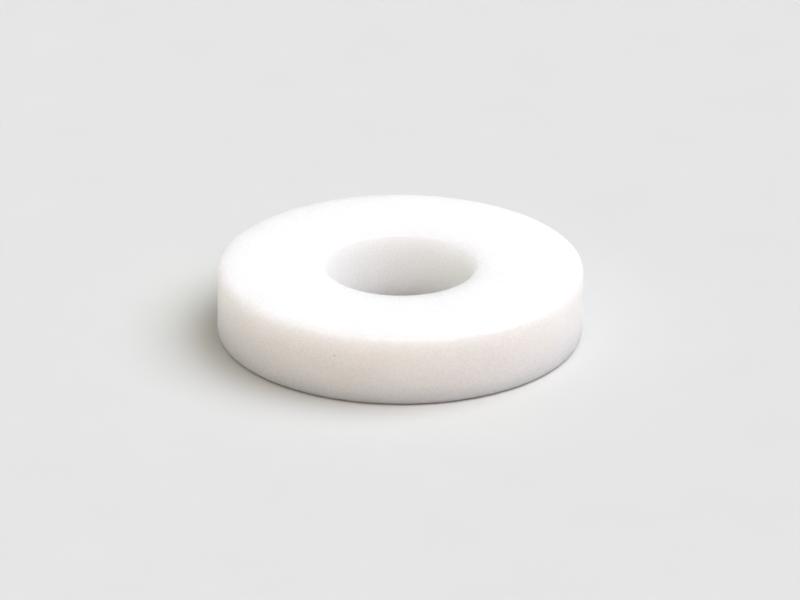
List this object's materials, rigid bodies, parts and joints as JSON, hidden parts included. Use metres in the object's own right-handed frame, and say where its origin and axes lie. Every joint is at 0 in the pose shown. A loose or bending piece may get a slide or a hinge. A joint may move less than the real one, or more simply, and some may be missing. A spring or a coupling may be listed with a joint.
{
  "type": "flat washer",
  "caption": "Thick flat ring washer in natural white nylon with a plain bore, flat bearing faces and softly rounded edges.",
  "frame": {"origin": "centre of the bore, on the lower flat face that the washer seats on", "axes": "+Z along the bore axis, from the lower face to the upper face; X and Y are any two directions across it, as the ring is round"},
  "size_m": [0.0159, 0.0158, 0.0031],
  "materials": {
    "natural_nylon": "satin, slightly translucent natural white nylon"
  },
  "bodies": {
    "root": {"washer": "natural_nylon"}
  },
  "joints": []
}
